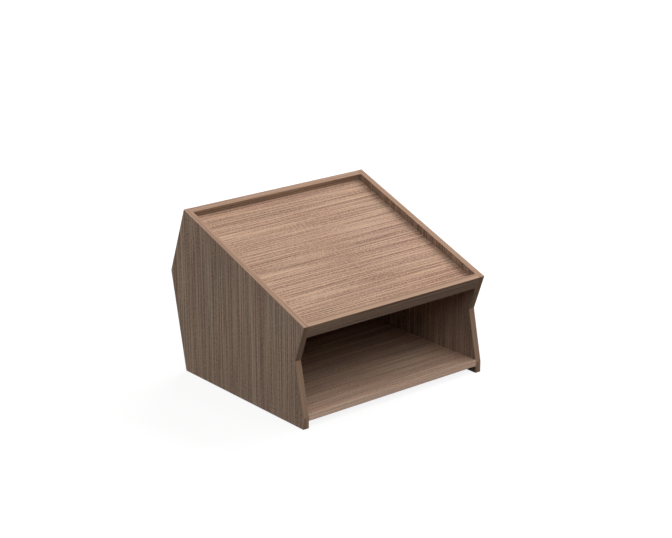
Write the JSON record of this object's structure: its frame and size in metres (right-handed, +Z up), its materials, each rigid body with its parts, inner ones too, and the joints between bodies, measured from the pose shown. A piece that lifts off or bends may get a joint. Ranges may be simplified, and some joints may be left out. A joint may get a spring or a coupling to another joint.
{
  "type": "book drop box",
  "caption": "Desktop book drop box in wood-grain laminate: angled side panels, an open front bay over a raised shelf, and a sloping tray top behind a front rail.",
  "frame": {"origin": "on the floor, under the centre of the overall box", "axes": "+X across the width to the user's right, +Y from the open front to the back, +Z up"},
  "size_m": [0.6, 0.5624, 0.45],
  "materials": {
    "side_laminate": "wood-grain laminate, grain upright, satin",
    "top_laminate": "wood-grain laminate, grain across the width, satin",
    "rail_laminate": "wood-grain laminate, grain along the rail, satin",
    "shelf_laminate": "wood-grain laminate, grain across the width, satin",
    "back_laminate": "wood-grain laminate, grain across the width, satin",
    "edge_band": "printed wood-grain edge band, satin",
    "shelf_edge_band": "printed wood-grain edge band, paler, satin",
    "beech": "plain beech, unfinished",
    "zinc": "die-cast zinc, dull",
    "steel": "zinc-plated steel, bright"
  },
  "bodies": {
    "root": {"left_side_panel": "side_laminate", "right_side_panel": "side_laminate", "top_panel": "top_laminate", "front_rail": "rail_laminate", "upper_back_panel": "back_laminate", "lower_back_panel": "back_laminate", "shelf_panel": "shelf_laminate", "left_bottom_band": "edge_band", "left_back_lower_band": "edge_band", "left_back_upper_band": "edge_band", "left_top_band": "edge_band", "left_front_upper_band": "edge_band", "left_front_lower_band": "edge_band", "left_toe_band": "edge_band", "right_bottom_band": "edge_band", "right_back_lower_band": "edge_band", "right_back_upper_band": "edge_band", "right_top_band": "edge_band", "right_front_upper_band": "edge_band", "right_front_lower_band": "edge_band", "right_toe_band": "edge_band", "rail_top_band": "edge_band", "rail_bottom_band": "edge_band", "shelf_front_band": "shelf_edge_band", "back_top_band": "edge_band", "back_bottom_band": "edge_band", "shelf_dowels": "beech", "top_panel_dowels": "beech", "rail_dowels": "beech", "upper_back_dowels": "beech", "lower_back_dowels": "beech", "rail_joint_dowels": "beech", "back_joint_dowels": "beech", "back_mitre_biscuits": "beech", "shelf_cams": "zinc", "top_panel_cams": "zinc", "shelf_cam_bolts": "steel", "top_panel_cam_bolts": "steel"}
  },
  "joints": []
}
